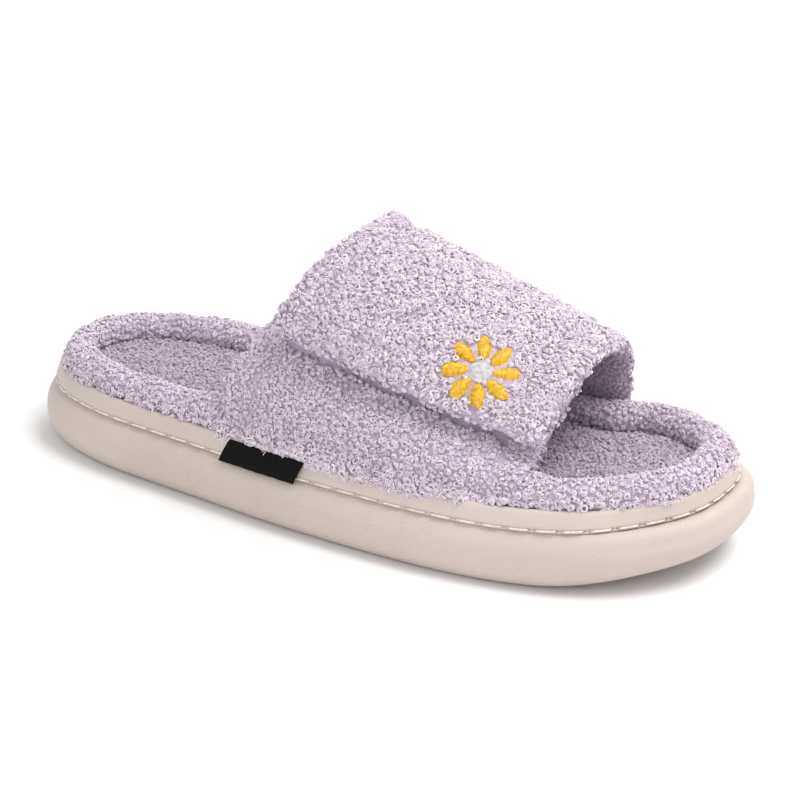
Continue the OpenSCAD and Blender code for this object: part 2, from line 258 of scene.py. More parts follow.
class Shape:
    """Vertices, quads and triangles of one piece, with values carried on its vertices."""

    def __init__(self):
        self.verts, self.quads, self.tris = [], [], []
        self.quad_slots, self.tri_slots = [], []
        self.uv, self.pile, self.tint = [], [], []
        self.count = 0

    def add(self, verts, quads, tris, uv, slot=0, pile=0.0, tint=0.5):
        verts = np.asarray(verts, float).reshape(-1, 3)
        n = len(verts)
        quads = np.asarray(quads, int).reshape(-1, 4)
        tris = np.asarray(tris, int).reshape(-1, 3)
        self.verts.append(verts)
        self.quads.append(quads + self.count)
        self.tris.append(tris + self.count)
        self.quad_slots.append(np.full(len(quads), slot))
        self.tri_slots.append(np.full(len(tris), slot))
        self.uv.append(uv)
        self.pile.append(np.broadcast_to(pile, n))
        self.tint.append(np.broadcast_to(tint, n))
        self.count += n

    def make(self, name, materials, surface=None, wrap=None):
        """Blender object of the shape, smooth shaded, with its own layout for baking. surface is a second
        layout in mm, for materials that repeat along it. Its first direction comes round after wrap mm."""
        verts = np.vstack(self.verts) * MM
        quads, tris = np.vstack(self.quads), np.vstack(self.tris)
        corners = np.concatenate([quads.ravel(), tris.ravel()])
        starts = np.concatenate([np.arange(len(quads)) * 4,
                                 len(quads) * 4 + np.arange(len(tris)) * 3])
        mesh = bpy.data.meshes.new(name)
        mesh.vertices.add(len(verts))
        mesh.loops.add(len(corners))
        mesh.polygons.add(len(starts))
        mesh.vertices.foreach_set("co", verts.astype(np.float32).ravel())
        mesh.loops.foreach_set("vertex_index", corners.astype(np.int32))
        mesh.polygons.foreach_set("loop_start", starts.astype(np.int32))
        slots = np.concatenate(self.quad_slots + self.tri_slots).astype(np.int32)
        mesh.polygons.foreach_set("material_index", slots)
        mesh.update(calc_edges=True)
        mesh.validate()
        mesh.polygons.foreach_set("use_smooth", np.ones(len(mesh.polygons), bool))
        layers = {"OFBake": np.vstack(self.uv)}
        if surface is not None:
            layers["Surface"] = surface
        loops = np.zeros(len(mesh.loops), np.int32)
        mesh.loops.foreach_get("vertex_index", loops)
        for layer_name, values in layers.items():
            corner_uv = values[loops]
            if wrap and layer_name == "Surface":
                along = corner_uv[:len(quads) * 4, 0].reshape(-1, 4)
                along[along.max(1)[:, None] - along > wrap / 2] += wrap
            layer = mesh.uv_layers.new(name=layer_name)
            layer.data.foreach_set("uv", corner_uv.astype(np.float32).ravel())
        write_attribute(mesh, "pile", np.concatenate(self.pile))
        write_attribute(mesh, "tint", np.concatenate(self.tint))
        for material in materials:
            mesh.materials.append(material)
        return linked(name, mesh)


def grid_quads(index, close_rows=False, close_columns=False):
    """Quads of a grid of vertex numbers."""
    if close_rows:
        index = np.vstack([index, index[:1]])
    if close_columns:
        index = np.hstack([index, index[:, :1]])
    return np.stack([index[:-1, :-1], index[1:, :-1], index[1:, 1:], index[:-1, 1:]], -1).reshape(-1, 4)


def numbered(rings):
    """Vertex numbers of a stack of rings."""
    return np.arange(rings.shape[0] * rings.shape[1]).reshape(rings.shape[:2])


def vertex_normals(verts, quads):
    p = verts[quads]
    normals = np.cross(p[:, 2] - p[:, 0], p[:, 3] - p[:, 1])
    total = np.zeros_like(verts)
    for k in range(4):
        np.add.at(total, quads[:, k], normals)
    return unit(total)


def plain_piece(name, material, verts, quads, tris, uv, surface=None, wrap=None):
    """Object of one material, without pile."""
    shape = Shape()
    shape.add(verts, quads, tris, uv)
    return shape.make(name, [material], surface, wrap)


def facing_up(verts, quads, top):
    """The quads, turned over if the chosen vertices would face down."""
    return quads if vertex_normals(verts, quads)[top][:, 2].sum() >= 0 else quads[:, ::-1]


def tubes(paths, radius, sides, side_vector, squash=None):
    """Closed tubes along paths of shape (count, steps, 3). Returns vertices, quads and cap triangles."""
    count, steps, _ = paths.shape
    tangent = unit(np.gradient(paths, axis=1))
    across = unit(np.cross(tangent, side_vector))
    other = np.cross(tangent, across)
    radius = np.broadcast_to(radius, (count, steps))
    angle = 2 * math.pi * np.arange(sides) / sides
    ring_shape = radius[:, :, None] * np.ones(sides)
    if squash is not None:
        ring_shape = ring_shape * squash
    turn = np.cos(angle)[:, None] * across[:, :, None] + np.sin(angle)[:, None] * other[:, :, None]
    verts = paths[:, :, None] + ring_shape[..., None] * turn
    one = np.arange(steps * sides).reshape(steps, sides)
    quads = grid_quads(one, close_columns=True)
    last = (steps - 1) * sides
    fans = np.array([fan for k in range(1, sides - 1)
                     for fan in ((0, k + 1, k), (last, last + k, last + k + 1))])
    offset = (np.arange(count) * steps * sides)[:, None, None]
    return verts.reshape(-1, 3), (quads + offset).reshape(-1, 4), (fans + offset).reshape(-1, 3)


# -------- fleece
CURL_STEPS = 16
CURL_SIDES = 3
CURL_SHARE = np.linspace(0, 1, CURL_STEPS)[None]
CURL_ROOT, CURL_CLEARANCE = 0.3, 0.15
CURL_UV_SPREAD = 0.002
COIL_RADIUS, COIL_TAPER = 0.45, 0.55
YARN_RANGE = (0.19, 0.24)
NUB, NUB_RADIUS = 3, 0.26
CROWDING = 6
CLUMPING = 0.35
CLUMP_SIZES = (6.1, 8.3, 11.7)
SHORTEST_PILE = 0.5


def drift(p):
    """Slow wandering direction, so that neighbouring curls lean together in clumps."""
    rates = 2 * math.pi / np.array(CLUMP_SIZES)
    ways = np.array([(1, 0.4, 0.2), (-0.3, 1, 0.5), (0.2, -0.5, 1),
                     (0.7, -0.7, 0.3), (0.5, 0.6, -0.7), (-0.6, 0.2, 0.8)])
    waves = [np.sin(p @ way * rates[i % 3] + i) for i, way in enumerate(ways)]
    return np.stack([waves[i] + waves[i + 3] for i in range(3)], -1) / 2


def scatter(verts, quads, density, values):
    """Evenly spaced random points on the quads. density is points per square mm on each vertex."""
    p = verts[quads]
    area = np.linalg.norm(np.cross(p[:, 2] - p[:, 0], p[:, 3] - p[:, 1]), axis=1) / 2
    wanted = CROWDING * area * density[quads].mean(1)
    counts = np.floor(wanted + rng.random(len(quads))).astype(int)
    face = rng.permutation(np.repeat(np.arange(len(quads)), counts))
    u, v = rng.random((2, len(face)))
    weights = np.stack([(1 - u) * (1 - v), u * (1 - v), u * v, (1 - u) * v], -1)

    def at(value):
        corner = value[quads[face]]
        return (corner * weights.reshape(weights.shape + (1,) * (corner.ndim - 2))).sum(1)
    points = at(verts)
    kept = spaced(points, math.sqrt(0.6 / density.max()))
    normals = vertex_normals(verts, quads)
    return points[kept], unit(at(normals))[kept], [at(value)[kept] for value in values]


def spaced(points, distance):
    """Numbers of the points that stay when each one taken removes its neighbours within the distance."""
    tree = KDTree(len(points))
    for k, point in enumerate(points):
        tree.insert(point, k)
    tree.balance()
    free = np.ones(len(points), bool)
    kept = []
    for k, point in enumerate(points):
        if free[k]:
            kept.append(k)
            for _, neighbour, _ in tree.find_range(point, distance):
                free[neighbour] = False
    return np.array(kept, int)


def curl_paths(roots, normals, length):
    """Middle line, yarn radius and winding axis of each curl. It starts just under the ground fabric and
    winds round about two to three times in a narrowing coil, whose axis is anywhere from flat to upright."""
    count = len(roots)
    side = unit(np.cross(normals, rng.normal(size=(count, 3))))
    tilt = rng.uniform(-0.1, 1.5, count)[:, None]
    up = unit(normals + CLUMPING * square_to(drift(roots), normals))
    axis = unit(np.cos(tilt) * side + np.sin(tilt) * up)
    rise = unit(square_to(up, axis))
    other = np.cross(axis, rise)
    radius = COIL_RADIUS * length * rng.uniform(0.75, 1.2, count)
    yarn = np.clip(0.09 * length, *YARN_RANGE) * rng.uniform(0.85, 1.15, count)
    turns = rng.uniform(1.8, 2.8, count)
    begin = rng.uniform(-0.7, -0.35, count)
    stand = (rise * up).sum(-1)
    height = length * rng.uniform(0.82, 1.12, count) - yarn - radius * np.maximum(stand, 0.5)
    theta = 2 * math.pi * (begin[:, None] + turns[:, None] * CURL_SHARE)
    r = (radius[:, None] * (1 - COIL_TAPER * CURL_SHARE))[..., None]
    centre = (roots + up * height[:, None])[:, None]
    pitch = (rng.uniform(0.15, 0.5, count) * radius)[:, None] * (turns[:, None] * (CURL_SHARE - 0.5))
    turn = np.cos(theta)[..., None] * rise[:, None] + np.sin(theta)[..., None] * other[:, None]
    coil = centre + r * turn + pitch[..., None] * axis[:, None]
    ground = (roots - normals * CURL_ROOT)[:, None]
    paths = mix(ground, coil, smooth(CURL_SHARE / 0.2)[..., None])
    depth = ((paths - roots[:, None]) * normals[:, None]).sum(-1, keepdims=True)
    paths[:, 2:] += (np.maximum(CURL_CLEARANCE - depth, 0) * normals[:, None])[:, 2:]
    return paths, yarn, axis


def add_curls(shape, roots, normals, length, uv, slot):
    """Adds curls in small knots: NUB of them, shorter towards its outside, around each root."""
    if not len(roots):
        return
    roots, normals, length, uv = (np.repeat(v, NUB, 0) for v in (roots, normals, length, uv))
    count = len(roots)
    away = unit(square_to(rng.normal(size=(count, 3)), normals))
    share = np.sqrt(rng.random(count))
    roots = roots + away * (NUB_RADIUS * length * share)[:, None]
    length = length * (1.08 - 0.22 * share ** 2)
    paths, yarn, axis = curl_paths(roots, normals, length)
    thickness = yarn[:, None] * (1 - 0.25 * (CURL_SHARE > 0.95) - 0.2 * (CURL_SHARE < 0.05))
    verts, curl_quads, caps = tubes(paths, thickness, CURL_SIDES, axis[:, None])
    from_root = verts.reshape(count, -1, 3) - roots[:, None]
    depth = (from_root * normals[:, None]).sum(-1)
    pile = np.clip(depth / length[:, None], 0, 1).ravel()
    tint = np.repeat(np.clip(rng.normal(0.5, 0.2, count), 0, 1), CURL_STEPS * CURL_SIDES)
    spread = from_root @ np.array([[1, 0], [0, 1], [0.4, 0.6]])
    curl_uv = np.clip(uv[:, None] + CURL_UV_SPREAD * spread, 0.001, 0.999)
    shape.add(verts, curl_quads, caps, curl_uv.reshape(-1, 2), slot, pile, tint)


CLOTH_SCALE = 10
CLOTH_FRAMES = 16


def read_values(items, key, width=1):
    """One value, or one row of values, from each item of a mesh."""
    values = np.zeros(len(items) * width, np.float32)
    items.foreach_get(key, values)
    return values.reshape(-1, width)


def simulate(verts, quads, pinned, pressure, cap):
    """Cloth simulation of a sewn, stuffed cover: pressure fills it, and its seams stay where they are.
    It runs at several times the real size. No point moves further than its cap, in mm."""
    obj = mesh_object("cushion", (verts * MM * CLOTH_SCALE).tolist(), quads.tolist())
    group = obj.vertex_groups.new(name="seam")
    group.add([int(i) for i in np.nonzero(pinned)[0]], 1.0, "REPLACE")
    cloth = obj.modifiers.new("Cloth", "CLOTH")
    settings = cloth.settings
    settings.quality = 6
    settings.mass = 0.3
    settings.tension_stiffness = settings.compression_stiffness = 12
    settings.shear_stiffness = 6
    settings.bending_stiffness = 1.5
    settings.use_pressure = True
    settings.uniform_pressure_force = pressure
    settings.vertex_group_mass = "seam"
    settings.effector_weights.gravity = 0
    cloth.collision_settings.use_self_collision = False
    for step in range(1, CLOTH_FRAMES + 1):
        bpy.context.scene.frame_set(step)
    moved = read_values(evaluated(obj).vertices, "co", 3)
    bpy.data.objects.remove(obj)
    bpy.context.scene.frame_set(1)
    move = moved / (MM * CLOTH_SCALE) - verts
    size = np.linalg.norm(move, axis=1, keepdims=True)
    return verts + move * np.minimum(1, cap[:, None] / np.maximum(size, 1e-6))


def rounded(share):
    """Quarter circle that rises from 0 to 1."""
    return np.sqrt(1 - (1 - np.clip(share, 0, 1)) ** 2)


def strap_pad(rows, columns, top, bottom, round_low, round_high, round_radius, flared=False):
    """Closed pillow along the strap between two depths. Rounded at its rear and front edges and, if
    asked, at its ends. Returns vertices, quads and each vertex's (t, a, side)."""
    t, a = np.meshgrid(columns, rows)
    edge = np.minimum(t - columns[0], columns[-1] - t) * STRAP_WIDTH
    ends = np.full_like(a, 1e3)
    if round_low:
        ends = np.minimum(ends, (a - rows[0]) * STRAP_ARC)
    if round_high:
        ends = np.minimum(ends, (rows[-1] - a) * STRAP_ARC)
    full = rounded(edge / round_radius) * rounded(ends / round_radius)
    middle, half = (top(t, a) + bottom(t, a)) / 2, (bottom(t, a) - top(t, a)) / 2
    place = t - flare(a) * (1 - t) ** 3 if flared else t
    outer, inner = below(place, a, middle - half * full), below(place, a, middle + half * full)
    n = t.size
    o = np.arange(n).reshape(t.shape)
    i = o + n
    border = np.zeros(t.shape, bool)
    border[:, 0] = border[:, -1] = True
    border[0] |= round_low
    border[-1] |= round_high
    i = np.where(border, o, i)
    quads = [grid_quads(o)[:, ::-1], grid_quads(i)]
    for row, ask, turn in ((0, round_low, 1), (-1, round_high, -1)):
        if not ask:
            q = np.stack([o[row, :-1], o[row, 1:], i[row, 1:], i[row, :-1]], -1)[:, ::turn]
            quads.append(q)
    quads = np.vstack(quads)
    verts = np.concatenate([outer.reshape(-1, 3), inner.reshape(-1, 3)])
    facts = np.stack([np.tile(t.ravel(), 2), np.tile(a.ravel(), 2),
                      np.concatenate([full.ravel(), -full.ravel()])], -1)
    used, quads = np.unique(quads, return_inverse=True)
    verts, facts = verts[used], facts[used]
    quads = quads.reshape(-1, 4)
    quads = quads[(quads != np.roll(quads, 1, axis=1)).all(axis=1)]
    outward = vertex_normals(verts, quads)
    top_side = facts[:, 2] > 0.9
    if (outward[top_side] * strap_normal(facts[top_side, 0], facts[top_side, 1])).sum() < 0:
        quads = quads[:, ::-1]
    return verts, quads, facts


def refine(verts, quads, facts):
    """One Catmull-Clark step by Blender, so the simulated cover is smooth. The facts ride along."""
    obj = mesh_object("refined", verts.tolist(), quads.tolist())
    names = [f"fact{k}" for k in range(facts.shape[1])]
    for name, column in zip(names, facts.T):
        write_attribute(obj.data, name, column)
    obj.modifiers.new("Subdivision", "SUBSURF").levels = 1
    done = evaluated(obj)
    places = read_values(done.vertices, "co", 3).astype(float)
    new_quads = np.array([p.vertices[:] for p in done.polygons])
    columns = [read_values(done.attributes[name].data, "value") for name in names]
    bpy.data.objects.remove(obj)
    return places, new_quads, np.hstack(columns).astype(float)


FURROWS = (0.1, 0.88)
FURROW_WIDTH = 0.02


def furrow(t):
    """1 on the two sewn lines along the strap's edges, 0 away from them."""
    return sum(np.exp(-((t - row) / FURROW_WIDTH) ** 2) for row in FURROWS)


EDGE_STEPS = np.array([0, 0.5, 1.3, 2.4, 4.0])


def edge_columns(rear_inset, front_inset, middle_count):
    """Strap columns, closer together at the rounded edges. The insets are in mm."""
    rear = (rear_inset + EDGE_STEPS) / STRAP_WIDTH
    front = 1 - (front_inset + EDGE_STEPS[::-1]) / STRAP_WIDTH
    return np.concatenate([rear, np.linspace(rear[-1], front[0], middle_count)[1:-1], front])


DAISY_T, DAISY_A = 0.705, 0.275
PETAL_COUNT, PETAL_R, PETAL_LEN, PETAL_W = 8, 8.4, 8.4, 4.6
PETAL_TURNS = [2 * math.pi * (k + 0.5) / PETAL_COUNT for k in range(PETAL_COUNT)]


def daisy_frame():
    """Middle of the flower and its three directions: along the strap, across it, and outward."""
    p, n = strap_point(DAISY_T, DAISY_A), strap_normal(DAISY_T, DAISY_A)
    along = strap_point(DAISY_T + 0.002, DAISY_A) - strap_point(DAISY_T - 0.002, DAISY_A)
    along = unit(along - n * (along @ n))
    return p, along, np.cross(n, along), n


def under_daisy(points):
    """1 where a petal or the flower's middle lies over the pile, falling to 0 beside it."""
    p, along, over, n = daisy_frame()
    x, y = (points - p) @ along, (points - p) @ over
    near = np.abs((points - p) @ n) < 8
    covered = smooth((4.6 - np.hypot(x, y)) / 0.8)
    for w in PETAL_TURNS:
        u = x * math.cos(w) + y * math.sin(w) - PETAL_R
        v = -x * math.sin(w) + y * math.cos(w)
        reach = np.hypot(u / (PETAL_LEN / 2 + 0.5), v / (PETAL_W / 2 + 0.5))
        covered = np.maximum(covered, smooth((1.12 - reach) / 0.2))
    return covered * near


def fleece_piece(name, verts, quads, facts_uv, pile, density, slots, materials, bare=None):
    """Ground fabric with curls all over it, as one object."""
    lumps = LUMP * drift(verts * 0.8)[:, 1] * (pile > 0.5)
    verts = verts + vertex_normals(verts, quads) * lumps[:, None]
    shape = Shape()
    felted = verts + vertex_normals(verts, quads) * (FELTED * pile * (density > 0))[:, None]
    shape.add(felted, quads, (), facts_uv, len(materials))
    roots, normals, (length, uv, slot) = scatter(verts, quads, density / NUB, [pile, facts_uv, slots])
    keep = length > SHORTEST_PILE
    if bare is not None:
        keep &= rng.random(len(roots)) > bare(roots)
    for k in range(len(materials)):
        chosen = keep & (slot.round() == k)
        add_curls(shape, roots[chosen], normals[chosen], length[chosen], uv[chosen], k)
    return shape.make(name, materials + [GROUND])


# -------- materials


class Look:
    """A new material, and short calls for the nodes that it is built from."""

    def __init__(self, name):
        self.material = bpy.data.materials.new(name)
        self.material.use_nodes = True
        tree = self.material.node_tree
        self.nodes, self.links, self.shader = tree.nodes, tree.links, tree.nodes["Principled BSDF"]

    def feed(self, node, inputs):
        """Sets each named input of a node to its constant, or links it to its output of another node."""
        for name, value in inputs.items():
            if isinstance(value, bpy.types.NodeSocket):
                self.links.new(value, node.inputs[name])
            else:
                node.inputs[name].default_value = value

    def shade(self, inputs):
        self.feed(self.shader, inputs)

    def attribute(self, name):
        node = self.nodes.new("ShaderNodeAttribute")
        node.attribute_name = name
        return node.outputs["Fac"]

    def surface(self):
        """The layout that counts mm along a surface."""
        node = self.nodes.new("ShaderNodeUVMap")
        node.uv_map = "Surface"
        return node.outputs["UV"]

    def ramp(self, factor, stops):
        node = self.nodes.new("ShaderNodeValToRGB")
        elements = node.color_ramp.elements
        elements[0].position, elements[0].color = stops[0]
        elements[1].position, elements[1].color = stops[-1]
        for position, colour in stops[1:-1]:
            elements.new(position).color = colour
        self.feed(node, {"Fac": factor})
        return node.outputs["Color"]

    def noise(self, scale, detail):
        node = self.nodes.new("ShaderNodeTexNoise")
        place = self.nodes.new("ShaderNodeTexCoord").outputs["Object"]
        self.feed(node, {"Scale": scale, "Detail": detail, "Vector": place})
        return node.outputs["Fac"]

    def waves(self, direction, scale, distortion, detail=2.0):
        node = self.nodes.new("ShaderNodeTexWave")
        node.wave_type, node.bands_direction = "BANDS", direction
        self.feed(node, {"Scale": scale, "Distortion": distortion, "Detail": detail})
        self.feed(node, {"Vector": self.surface()})
        return node.outputs["Fac"]

    def maths(self, operation, *values):
        node = self.nodes.new("ShaderNodeMath")
        node.operation = operation
        self.feed(node, dict(enumerate(values)))
        return node.outputs[0]

    def bump(self, height, strength, distance):
        node = self.nodes.new("ShaderNodeBump")
        self.feed(node, {"Strength": strength, "Distance": distance, "Height": height})
        self.shade({"Normal": node.outputs["Normal"]})


def fleece_material(name, ground, deep, middle, tip):
    """Curly pile: darker towards its roots as painted shade, paler at its tips as painted light, each curl a
    slightly different tint.
    """
    look = Look(name)
    curl_shift = look.maths("MULTIPLY_ADD", look.attribute("tint"), 0.3, -0.15)
    cloud_shift = look.maths("MULTIPLY_ADD", look.noise(45, 2), 0.3, -0.15)
    total = look.maths("ADD", look.maths("ADD", look.attribute("pile"), curl_shift), cloud_shift)
    # Painted shade low in the pile, painted light at the curl tips.
    colour = look.ramp(total, [(0.0, ground), (0.3, deep), (0.62, middle), (1.0, tip)])
    look.shade({"Base Color": colour, "Roughness": 0.85, "Specular IOR Level": 0.1,
                "Sheen Weight": 0.15, "Sheen Roughness": 0.4, "Sheen Tint": LILAC_TIP})
    look.bump(look.noise(1100, 2), 0.7, 0.0006)
    return look.material


def ground_material():
    """Short dense fuzz between the curls, in darker lilacs as painted shade in the gaps of the pile."""
    look = Look("fleece_ground")
    fuzz = look.noise(1300, 4)
    look.shade({"Base Color": look.ramp(fuzz, [(0.35, LILAC_GROUND_SHADE), (0.65, LILAC_DEEP_SHADE)]),
                "Roughness": 0.9, "Specular IOR Level": 0.05})
    look.bump(fuzz, 1.0, 0.0015)
    return look.material


def foam_material(name, with_twill):
    """Moulded sole foam: satin, with faint clouding, fine grain and, on the wall, a diagonal twill."""
    look = Look(name)
    cloud, grain = look.noise(22, 4), look.noise(1800, 2)
    tone, height, strength = cloud, grain, 0.12
    if with_twill:
        twill = look.waves("DIAGONAL", 0.56, 0.25, 1.0)
        height = look.maths("MULTIPLY_ADD", twill, 0.8, grain)
        tone = look.maths("SUBTRACT", look.maths("MULTIPLY_ADD", twill, 0.24, cloud), 0.12)
        strength = 0.6
    look.bump(height, strength, 0.0002)
    gloss = look.ramp(look.noise(60, 3), [(0.3, (0.46,) * 3 + (1,)), (0.7, (0.58,) * 3 + (1,))])
    look.shade({"Base Color": look.ramp(tone, [(0.3, TAUPE_WARM), (0.7, TAUPE)]),
                "Roughness": gloss, "Specular IOR Level": 0.4})
    return look.material


def thread_material(name, dark, light, roughness, sheen):
    look = Look(name)
    streaks = look.noise(900, 3)
    look.shade({"Base Color": look.ramp(streaks, [(0.3, dark), (0.7, light)]),
                "Roughness": roughness, "Sheen Weight": sheen})
    look.bump(streaks, 0.3, 0.0001)
    return look.material


def label_material():
    """Black woven satin: fine ribs one way, finer picks the other."""
    look = Look("label_satin")
    weave = look.maths("MULTIPLY", look.waves("X", 0.9, 0.4), look.waves("Y", 0.65, 0.4))
    look.shade({"Base Color": look.ramp(weave, [(0.0, srgb(5, 3, 4)), (1.0, srgb(20, 17, 18))]),
                "Roughness": 0.7, "Specular IOR Level": 0.12})
    look.bump(weave, 0.4, 0.0002)
    return look.material


def tape_material(name, dark, light, scale, unevenness):
    """Hook or loop tape: tiny bumps in rows on a woven ground."""
    look = Look(name)
    cells = look.nodes.new("ShaderNodeTexVoronoi")
    look.feed(cells, {"Scale": scale, "Randomness": unevenness, "Vector": look.surface()})
    height = cells.outputs["Distance"]
    look.shade({"Base Color": look.ramp(height, [(0.0, light), (0.7, dark)]), "Roughness": 0.7})
    look.bump(height, 0.8, -0.0006)
    return look.material


GROUND = ground_material()
FLEECE = fleece_material("fleece_lilac", LILAC_GROUND_SHADE, LILAC_DEEP_SHADE, LILAC, LILAC_TIP)
LINING = fleece_material("fleece_lining", LILAC_GROUND_SHADE, LILAC_DEEP_SHADE, LILAC, LILAC_TIP)
# The footbed's fleece is the same lilac pile, coloured darker as painted shade from the rim and the strap
# above it.
FOOTBED = fleece_material("fleece_footbed_shaded", srgb(180, 162, 184), srgb(190, 173, 192), srgb(198, 183, 198),
                          srgb(206, 193, 205))
WALL_FOAM = foam_material("sole_foam_twill", True)
BAND_FOAM = foam_material("sole_foam_smooth", False)
SIDE_THREAD = thread_material("side_thread", srgb(204, 191, 184), srgb(236, 228, 222), 0.32, 0.1)
LILAC_THREAD = thread_material("lilac_thread", srgb(178, 160, 186), srgb(206, 192, 212), 0.5, 0.3)
PETAL_THREAD = thread_material("petal_thread", srgb(198, 142, 8), srgb(238, 199, 58), 0.26, 0.0)
CENTRE_THREAD = thread_material("centre_thread", srgb(176, 172, 174), srgb(222, 219, 220), 0.35, 0.1)
LABEL = label_material()
HOOK_TAPE = tape_material("hook_tape", srgb(120, 104, 128), srgb(196, 182, 202), 0.62, 0.15)
LOOP_TAPE = tape_material("loop_tape", srgb(140, 122, 148), srgb(202, 188, 208), 0.9, 1.0)

# -------- sole
WALL_PROFILE = [(7, 0), (3.5, 1.2), (1.2, 4), (0, 7.84), (0, 12.15), (1, 15.3), (2.6, 17.8), (4.6, 19.5)]
STITCH_COUNT, STITCH_LEN, STITCH_INSET, STITCH_Z = 68, 7.0, 3.2, BOARD_Z + 0.8
UV_SPAN = 640.0


def along_ring(points):
    """Distance run along a closed ring of points, and its whole length."""
    steps = np.linalg.norm(np.roll(points, -1, 0) - points, axis=1)
    return np.concatenate([[0], np.cumsum(steps)[:-1]]), steps.sum()


def swept(outline, profile):
    """Rings of points: profile is a list of (inset, z), where each may be an array along the outline."""
    return np.stack([ring(outline, inset, z) for inset, z in profile])


def surface_layout(run, rings):
    """Distance along the outline and over the profile, in mm, of each point of a stack of rings."""
    rise = np.concatenate([[0], np.cumsum(np.linalg.norm(np.diff(rings[:, 0], axis=0), axis=1))])
    return np.stack(np.broadcast_arrays(run[None], rise[:, None]), -1).reshape(-1, 2)


def tread(x, y):
    """Depth of the grooves under the sole: wavy bars across the foot inside a plain border."""
    wave = np.sin(2 * math.pi * (x + 5 * np.sin(2 * math.pi * y / 46)) / 11)
    return 1.3 * smooth((wave - 0.35) / 0.5)


def sole_wall():
    """Bulged lower wall and the grooved underside, one closed skin with the top hidden in the band."""
    outline = sole_outline(24)
    line = outline[0]
    profile = spline(WALL_PROFILE, 4, False)
    ledge = smooth((line[:, 0] - 92) / 34)
    levels = []
    for inset, z in profile:
        z = max(z, 0)
        shoulder = ledge * smooth((z - 13) / 5) * (z < 19.4)
        rocker = smooth((line[:, 0] - 85) / 50) * max(0, 1 - z / 12)
        levels.append((inset - 1.3 * shoulder + 1.5 * rocker, z + 0.5 * shoulder + 3 * rocker))
    walls = swept(outline, levels + [(9.0, 19.3)])
    edge = walls[0]
    spine = np.column_stack([np.clip(edge[:, 0], -92, 88), np.full(len(edge), -1.5)])
    bottom = []
    for share in np.linspace(0, 1, 34)[1:]:
        xy = mix(edge[:, :2], spine, share)
        border = smooth((share * 45 - 5) / 2)
        depth = tread(xy[:, 0], xy[:, 1]) * border
        lift = spring(xy[:, 0]) + 3 * smooth((xy[:, 0] - 85) / 50)
        bottom.append(np.column_stack([xy, lift + depth]))
    rings = np.concatenate([np.stack(bottom[::-1]), walls])
    run, total = along_ring(ring(outline, 0, 0))
    quads = grid_quads(numbered(rings), close_columns=True)
    surface = surface_layout(run, rings)
    obj = plain_piece("sole_wall", WALL_FOAM, rings, quads[:, ::-1], (), surface / UV_SPAN, surface, total)
    stand_in(obj, ["outsole"])


def stitch_ends(total):
    """Where each stitch starts and ends along the stitch line."""
    middles = (np.arange(STITCH_COUNT) + 0.5) * total / STITCH_COUNT
    return middles - STITCH_LEN / 2, middles + STITCH_LEN / 2


def sole_band():
    """Smooth band above the wall, with the channel its stitches lie in and a slit at each stitch end."""
    outline = sole_outline(64)
    line = outline[0]
    lean = toe_lean(line[:, 0])
    stitch_line = ring(outline, STITCH_INSET + lean, STITCH_Z)
    run, total = along_ring(stitch_line)
    starts, ends = stitch_ends(total)
    holes = np.sort(np.concatenate([starts, ends]) % total)
    away = np.abs(run[:, None] - holes[None]).min(1)
    pit = np.exp(-(away / 0.5) ** 2)
    between = np.exp(-((run[:, None] - holes[None]) / 1.6) ** 2).max(1)
    z = BOARD_Z
    profile = [
        (6.6 + lean, z - 0.6), (5.0 + lean, z - 0.45), (4.15 + lean, z - 0.1), (3.88 + lean, z + 0.16),
        (3.92 + lean + 0.6 * pit, z + 0.5), (4.0 + lean + 1.3 * pit, z + 0.8),
        (3.95 + lean + 0.7 * pit, z + 1.1), (3.92 + lean - 0.05 * between, z + 1.5),
        (4.0 + lean, z + 2.2), (4.3 + lean, z + BAND_HEIGHT * 0.45),
        (4.75 + lean * 0.8, z + 4.4), (5.1 + lean * 0.65, z + 5.3), (5.4 + lean / 2, BAND_TOP - 0.9),
        (5.72 + lean / 2, BAND_TOP - 0.42), (6.2 + lean / 2, BAND_TOP - 0.1), (7, BAND_TOP),
        (7.7, BAND_TOP - 0.35), (8.2, BAND_TOP - 0.9), (8.4, BAND_TOP - 3), (8.2 + 0 * lean, z),
    ]
    rings = swept(outline, profile)
    quads = grid_quads(numbered(rings), close_rows=True, close_columns=True)
    uv = surface_layout(run, rings) / UV_SPAN
    obj = plain_piece("sole_band", BAND_FOAM, rings, quads[:, ::-1], (), uv)
    stand_in(obj, ["rand_band"])
    return stitch_line, run, total


def lobed(steps, sides, twist, depth):
    """Cross-section of two-ply yarn that turns along the thread."""
    angle = 2 * math.pi * np.arange(sides) / sides
    turn = np.linspace(0, twist, steps)
    return 1 + depth * np.cos(2 * (angle[None] - turn[:, None]))


